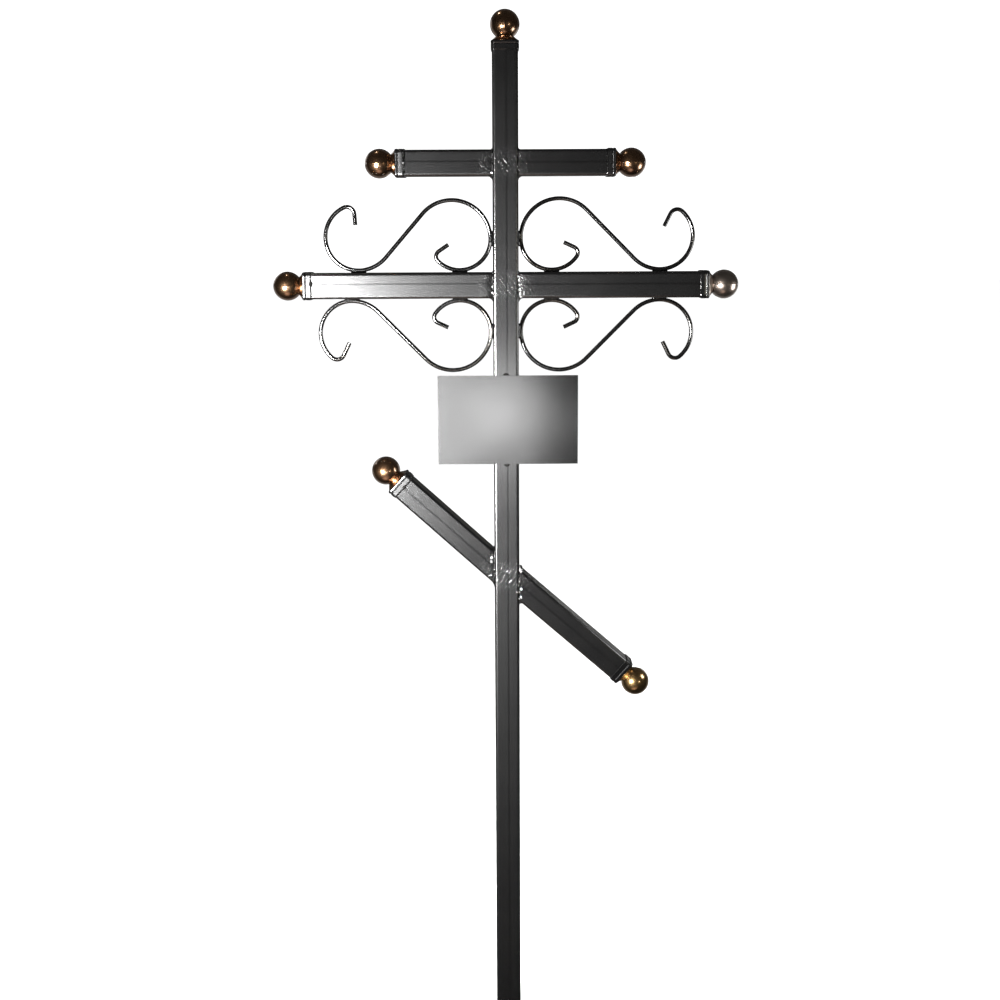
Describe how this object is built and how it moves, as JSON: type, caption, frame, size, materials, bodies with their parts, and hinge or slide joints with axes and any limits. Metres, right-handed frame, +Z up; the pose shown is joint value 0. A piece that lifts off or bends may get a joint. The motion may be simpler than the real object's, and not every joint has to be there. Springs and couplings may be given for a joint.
{
  "type": "grave cross",
  "caption": "Grave cross welded from square steel tube, with a slanted lower bar, S scrolls of round rod, ball finials and a blank name plate.",
  "frame": {"origin": "on the ground in the middle of the post, where the post is cut off", "axes": "+Z up along the post, +X to the viewer's right along the arms, the front with the name plate faces -Y"},
  "size_m": [0.7258, 0.045, 1.6539],
  "materials": {
    "black_paint": "semi-gloss black paint over welded steel",
    "plate_paint": "semi-gloss black paint over flat sheet steel",
    "bronze_finish": "glossy dark bronze"
  },
  "bodies": {
    "root": {"post": "black_paint", "upper_arm_left": "black_paint", "upper_arm_right": "black_paint", "main_arm_left": "black_paint", "main_arm_right": "black_paint", "slant_arm_left": "black_paint", "slant_arm_right": "black_paint", "scroll_upper_left": "black_paint", "scroll_upper_right": "black_paint", "scroll_lower_left": "black_paint", "scroll_lower_right": "black_paint", "finial_top": "bronze_finish", "finial_upper_left": "bronze_finish", "finial_upper_right": "bronze_finish", "finial_main_left": "bronze_finish", "finial_main_right": "bronze_finish", "finial_slant_left": "bronze_finish", "finial_slant_right": "bronze_finish", "name_plate": "plate_paint"}
  },
  "joints": []
}
